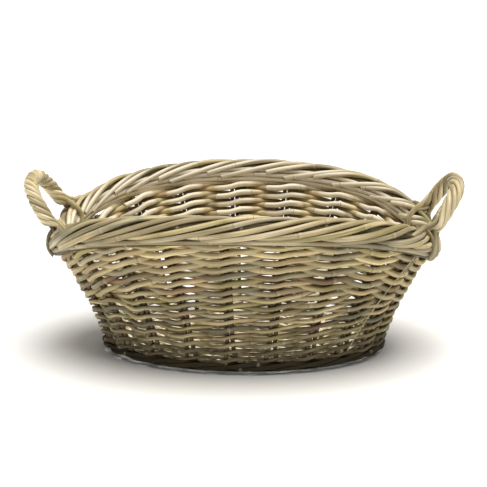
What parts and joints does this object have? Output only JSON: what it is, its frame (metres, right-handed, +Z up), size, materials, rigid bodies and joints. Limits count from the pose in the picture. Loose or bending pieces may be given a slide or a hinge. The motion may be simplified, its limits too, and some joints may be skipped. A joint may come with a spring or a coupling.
{
  "type": "wicker basket",
  "caption": "Oval open laundry basket of woven cane with flared sides, a border that rises along the long sides, and a roped bow handle at each end.",
  "frame": {"origin": "on the floor, under the middle of the basket", "axes": "+X along the basket from handle to handle, +Y across it, +Z up"},
  "size_m": [0.6514, 0.4018, 0.2721],
  "materials": {
    "siding_cane": "dry, slightly silky whole cane with darker nodes",
    "border_cane": "silky whole cane",
    "handle_cane": "smooth pale cane, slightly glossy",
    "stake_cane": "dry cane",
    "base_cane": "dry cane",
    "base_stick": "dry thick cane"
  },
  "bodies": {
    "root": {"base_weave_under": "base_cane", "base_weave_upper": "base_cane", "border": "border_cane", "cross_stick_1": "base_stick", "cross_stick_2": "base_stick", "cross_stick_3": "base_stick", "cross_stick_4": "base_stick", "cross_stick_5": "base_stick", "cross_stick_6": "base_stick", "foot_ring": "base_cane", "handle_core_left": "stake_cane", "handle_core_right": "stake_cane", "handle_tails_left": "handle_cane", "handle_tails_right": "handle_cane", "handle_wrap_left": "handle_cane", "handle_wrap_right": "handle_cane", "long_stick_1": "base_stick", "long_stick_2": "base_stick", "long_stick_3": "base_stick", "long_stick_4": "base_stick", "long_stick_5": "base_stick", "lower_siding": "siding_cane", "packing_back": "siding_cane", "packing_front": "siding_cane", "stake_pair_01": "stake_cane", "stake_pair_02": "stake_cane", "stake_pair_03": "stake_cane", "stake_pair_04": "stake_cane", "stake_pair_05": "stake_cane", "stake_pair_06": "stake_cane", "stake_pair_07": "stake_cane", "stake_pair_08": "stake_cane", "stake_pair_09": "stake_cane", "stake_pair_10": "stake_cane", "stake_pair_11": "stake_cane", "stake_pair_12": "stake_cane", "stake_pair_13": "stake_cane", "stake_pair_14": "stake_cane", "stake_pair_15": "stake_cane", "stake_pair_16": "stake_cane", "stake_pair_17": "stake_cane", "stake_pair_18": "stake_cane", "stake_pair_19": "stake_cane", "stake_pair_20": "stake_cane", "stake_pair_21": "stake_cane", "stake_pair_22": "stake_cane", "upper_siding": "siding_cane", "upsett": "siding_cane"}
  },
  "joints": []
}
